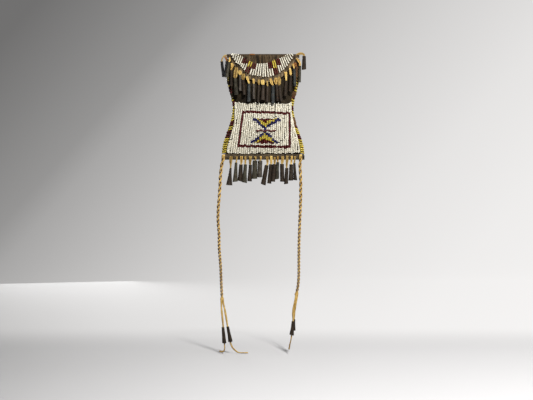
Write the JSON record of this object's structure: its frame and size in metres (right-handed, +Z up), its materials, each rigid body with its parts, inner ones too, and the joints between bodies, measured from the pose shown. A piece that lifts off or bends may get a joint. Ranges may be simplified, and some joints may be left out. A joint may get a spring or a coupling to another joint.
{
  "type": "strike-a-light bag",
  "caption": "Beaded leather belt pouch with a lifting flap, swinging tin-cone drops along flap and hem, and long twisted thong tails with knots and cones.",
  "frame": {"origin": "midway between the two belt slits, on the outer face of the flat back panel", "axes": "+Z up along the bag, +Y out of the back towards the belt, -Y the beaded front, +X to the right of someone who looks at the front"},
  "size_m": [0.1082, 0.021, 0.3652],
  "materials": {
    "leather": "smoked hide, dark and worn",
    "hem_leather": "dark worn hide",
    "white_beads": "opaque glass seed beads, a little yellowed",
    "red_beads": "dark red glass seed beads",
    "yellow_beads": "greasy yellow glass seed beads",
    "blue_beads": "navy glass seed beads",
    "tin_cones": "tinned sheet, aged dark and dull",
    "thong": "pale buckskin"
  },
  "bodies": {
    "pouch": {"back_panel": "leather", "front_panel": "leather", "hem_strip": "hem_leather", "left_edge_beading": "yellow_beads", "right_edge_beading": "yellow_beads", "front_bead_field": "white_beads", "inner_bead_field": "white_beads", "border_beads": "red_beads", "blue_hourglass": "blue_beads", "yellow_vee_upper": "yellow_beads", "yellow_vee_lower": "yellow_beads", "red_triangle_upper": "red_beads", "red_triangle_lower": "red_beads", "left_tail": "thong", "left_tail_strand_a": "thong", "left_tail_strand_b": "thong", "left_tail_cone_a": "tin_cones", "left_tail_cone_b": "tin_cones", "right_tail": "thong", "right_tail_strand_a": "thong", "right_tail_strand_b": "thong", "right_tail_cone_a": "tin_cones", "right_tail_cone_b": "tin_cones"},
    "flap": {"flap": "leather", "flap_beadwork": "white_beads"},
    "flap_drop_01": {"flap_drop_01": "tin_cones"},
    "flap_drop_02": {"flap_drop_02": "tin_cones"},
    "flap_drop_03": {"flap_drop_03": "tin_cones"},
    "flap_drop_04": {"flap_drop_04": "tin_cones"},
    "flap_drop_05": {"flap_drop_05": "tin_cones"},
    "flap_drop_06": {"flap_drop_06": "tin_cones"},
    "flap_drop_07": {"flap_drop_07": "tin_cones"},
    "flap_drop_08": {"flap_drop_08": "tin_cones"},
    "flap_drop_09": {"flap_drop_09": "tin_cones"},
    "flap_drop_10": {"flap_drop_10": "tin_cones"},
    "flap_drop_11": {"flap_drop_11": "tin_cones"},
    "flap_drop_12": {"flap_drop_12": "tin_cones"},
    "flap_drop_13": {"flap_drop_13": "tin_cones"},
    "flap_drop_14": {"flap_drop_14": "tin_cones"},
    "flap_drop_15": {"flap_drop_15": "tin_cones"},
    "flap_drop_16": {"flap_drop_16": "tin_cones"},
    "flap_drop_17": {"flap_drop_17": "tin_cones"},
    "flap_drop_18": {"flap_drop_18": "tin_cones"},
    "flap_drop_19": {"flap_drop_19": "tin_cones"},
    "flap_drop_20": {"flap_drop_20": "tin_cones"},
    "hem_drop_01": {"hem_drop_01": "tin_cones"},
    "hem_drop_02": {"hem_drop_02": "tin_cones"},
    "hem_drop_03": {"hem_drop_03": "tin_cones"},
    "hem_drop_04": {"hem_drop_04": "tin_cones"},
    "hem_drop_05": {"hem_drop_05": "tin_cones"},
    "hem_drop_06": {"hem_drop_06": "tin_cones"},
    "hem_drop_07": {"hem_drop_07": "tin_cones"},
    "hem_drop_08": {"hem_drop_08": "tin_cones"},
    "hem_drop_09": {"hem_drop_09": "tin_cones"},
    "hem_drop_10": {"hem_drop_10": "tin_cones"},
    "hem_drop_11": {"hem_drop_11": "tin_cones"},
    "hem_drop_12": {"hem_drop_12": "tin_cones"},
    "hem_drop_13": {"hem_drop_13": "tin_cones"},
    "hem_drop_14": {"hem_drop_14": "tin_cones"},
    "hem_drop_15": {"hem_drop_15": "tin_cones"}
  },
  "joints": [
    {"name": "flap_hinge", "type": "hinge", "parent": "pouch", "child": "flap", "pos_m": [0, -0.0009, 0.0252], "axis": [-1, 0, 0], "range_deg": [0, 165]},
    {"name": "flap_drop_01_swing", "type": "hinge", "parent": "flap", "child": "flap_drop_01", "pos_m": [-0.0453, -0.00422, 0.02403], "axis": [-1, 0, 0], "range_deg": [0, 100]},
    {"name": "flap_drop_02_swing", "type": "hinge", "parent": "flap", "child": "flap_drop_02", "pos_m": [-0.03962, -0.0077, 0.02068], "axis": [-1, 0, 0], "range_deg": [0, 100]},
    {"name": "flap_drop_03_swing", "type": "hinge", "parent": "flap", "child": "flap_drop_03", "pos_m": [-0.03791, -0.00825, 0.01828], "axis": [-1, 0, 0], "range_deg": [0, 100]},
    {"name": "flap_drop_04_swing", "type": "hinge", "parent": "flap", "child": "flap_drop_04", "pos_m": [-0.03536, -0.00906, 0.01491], "axis": [-1, 0, 0], "range_deg": [0, 100]},
    {"name": "flap_drop_05_swing", "type": "hinge", "parent": "flap", "child": "flap_drop_05", "pos_m": [-0.03238, -0.00997, 0.01133], "axis": [-1, 0, 0], "range_deg": [0, 100]},
    {"name": "flap_drop_06_swing", "type": "hinge", "parent": "flap", "child": "flap_drop_06", "pos_m": [-0.02778, -0.01131, 0.00654], "axis": [-1, 0, 0], "range_deg": [0, 100]},
    {"name": "flap_drop_07_swing", "type": "hinge", "parent": "flap", "child": "flap_drop_07", "pos_m": [-0.02271, -0.01265, 0.00227], "axis": [-1, 0, 0], "range_deg": [0, 100]},
    {"name": "flap_drop_08_swing", "type": "hinge", "parent": "flap", "child": "flap_drop_08", "pos_m": [-0.01691, -0.01394, -0.00139], "axis": [-1, 0, 0], "range_deg": [0, 100]},
    {"name": "flap_drop_09_swing", "type": "hinge", "parent": "flap", "child": "flap_drop_09", "pos_m": [-0.01112, -0.01489, -0.00381], "axis": [-1, 0, 0], "range_deg": [0, 100]},
    {"name": "flap_drop_10_swing", "type": "hinge", "parent": "flap", "child": "flap_drop_10", "pos_m": [-0.00528, -0.01546, -0.00509], "axis": [-1, 0, 0], "range_deg": [0, 100]},
    {"name": "flap_drop_11_swing", "type": "hinge", "parent": "flap", "child": "flap_drop_11", "pos_m": [0, -0.01562, -0.0054], "axis": [-1, 0, 0], "range_deg": [0, 100]},
    {"name": "flap_drop_12_swing", "type": "hinge", "parent": "flap", "child": "flap_drop_12", "pos_m": [0.00579, -0.01542, -0.00502], "axis": [-1, 0, 0], "range_deg": [0, 100]},
    {"name": "flap_drop_13_swing", "type": "hinge", "parent": "flap", "child": "flap_drop_13", "pos_m": [0.0115, -0.01484, -0.00368], "axis": [-1, 0, 0], "range_deg": [0, 100]},
    {"name": "flap_drop_14_swing", "type": "hinge", "parent": "flap", "child": "flap_drop_14", "pos_m": [0.0167, -0.01398, -0.0015], "axis": [-1, 0, 0], "range_deg": [0, 100]},
    {"name": "flap_drop_15_swing", "type": "hinge", "parent": "flap", "child": "flap_drop_15", "pos_m": [0.02181, -0.01287, 0.00162], "axis": [-1, 0, 0], "range_deg": [0, 100]},
    {"name": "flap_drop_16_swing", "type": "hinge", "parent": "flap", "child": "flap_drop_16", "pos_m": [0.02722, -0.01147, 0.00602], "axis": [-1, 0, 0], "range_deg": [0, 100]},
    {"name": "flap_drop_17_swing", "type": "hinge", "parent": "flap", "child": "flap_drop_17", "pos_m": [0.03302, -0.00978, 0.01207], "axis": [-1, 0, 0], "range_deg": [0, 100]},
    {"name": "flap_drop_18_swing", "type": "hinge", "parent": "flap", "child": "flap_drop_18", "pos_m": [0.03728, -0.00845, 0.01741], "axis": [-1, 0, 0], "range_deg": [0, 100]},
    {"name": "flap_drop_19_swing", "type": "hinge", "parent": "flap", "child": "flap_drop_19", "pos_m": [0.03962, -0.0077, 0.02068], "axis": [-1, 0, 0], "range_deg": [0, 100]},
    {"name": "flap_drop_20_swing", "type": "hinge", "parent": "flap", "child": "flap_drop_20", "pos_m": [0.0453, -0.00422, 0.02403], "axis": [-1, 0, 0], "range_deg": [0, 100]},
    {"name": "hem_drop_01_swing", "type": "hinge", "parent": "pouch", "child": "hem_drop_01", "pos_m": [-0.0387, -0.0067, -0.1002], "axis": [-1, 0, 0], "range_deg": [-20, 90]},
    {"name": "hem_drop_02_swing", "type": "hinge", "parent": "pouch", "child": "hem_drop_02", "pos_m": [-0.0323, -0.0067, -0.1002], "axis": [-1, 0, 0], "range_deg": [-20, 90]},
    {"name": "hem_drop_03_swing", "type": "hinge", "parent": "pouch", "child": "hem_drop_03", "pos_m": [-0.0269, -0.0067, -0.1002], "axis": [-1, 0, 0], "range_deg": [-20, 90]},
    {"name": "hem_drop_04_swing", "type": "hinge", "parent": "pouch", "child": "hem_drop_04", "pos_m": [-0.0213, -0.0067, -0.1002], "axis": [-1, 0, 0], "range_deg": [-20, 90]},
    {"name": "hem_drop_05_swing", "type": "hinge", "parent": "pouch", "child": "hem_drop_05", "pos_m": [-0.0154, -0.0067, -0.1002], "axis": [-1, 0, 0], "range_deg": [-20, 90]},
    {"name": "hem_drop_06_swing", "type": "hinge", "parent": "pouch", "child": "hem_drop_06", "pos_m": [-0.0094, -0.0067, -0.1002], "axis": [-1, 0, 0], "range_deg": [-20, 90]},
    {"name": "hem_drop_07_swing", "type": "hinge", "parent": "pouch", "child": "hem_drop_07", "pos_m": [-0.0029, -0.0067, -0.1002], "axis": [-1, 0, 0], "range_deg": [-20, 90]},
    {"name": "hem_drop_08_swing", "type": "hinge", "parent": "pouch", "child": "hem_drop_08", "pos_m": [0.0047, -0.0067, -0.1002], "axis": [-1, 0, 0], "range_deg": [-20, 90]},
    {"name": "hem_drop_09_swing", "type": "hinge", "parent": "pouch", "child": "hem_drop_09", "pos_m": [0.0099, -0.0067, -0.1002], "axis": [-1, 0, 0], "range_deg": [-20, 90]},
    {"name": "hem_drop_10_swing", "type": "hinge", "parent": "pouch", "child": "hem_drop_10", "pos_m": [0.0144, -0.0067, -0.1002], "axis": [-1, 0, 0], "range_deg": [-20, 90]},
    {"name": "hem_drop_11_swing", "type": "hinge", "parent": "pouch", "child": "hem_drop_11", "pos_m": [0.0185, -0.0067, -0.1002], "axis": [-1, 0, 0], "range_deg": [-20, 90]},
    {"name": "hem_drop_12_swing", "type": "hinge", "parent": "pouch", "child": "hem_drop_12", "pos_m": [0.0242, -0.0067, -0.1002], "axis": [-1, 0, 0], "range_deg": [-20, 90]},
    {"name": "hem_drop_13_swing", "type": "hinge", "parent": "pouch", "child": "hem_drop_13", "pos_m": [0.0295, -0.0067, -0.1002], "axis": [-1, 0, 0], "range_deg": [-20, 90]},
    {"name": "hem_drop_14_swing", "type": "hinge", "parent": "pouch", "child": "hem_drop_14", "pos_m": [0.0348, -0.0067, -0.1002], "axis": [-1, 0, 0], "range_deg": [-20, 90]},
    {"name": "hem_drop_15_swing", "type": "hinge", "parent": "pouch", "child": "hem_drop_15", "pos_m": [0.0394, -0.0067, -0.1002], "axis": [-1, 0, 0], "range_deg": [-20, 90]}
  ]
}
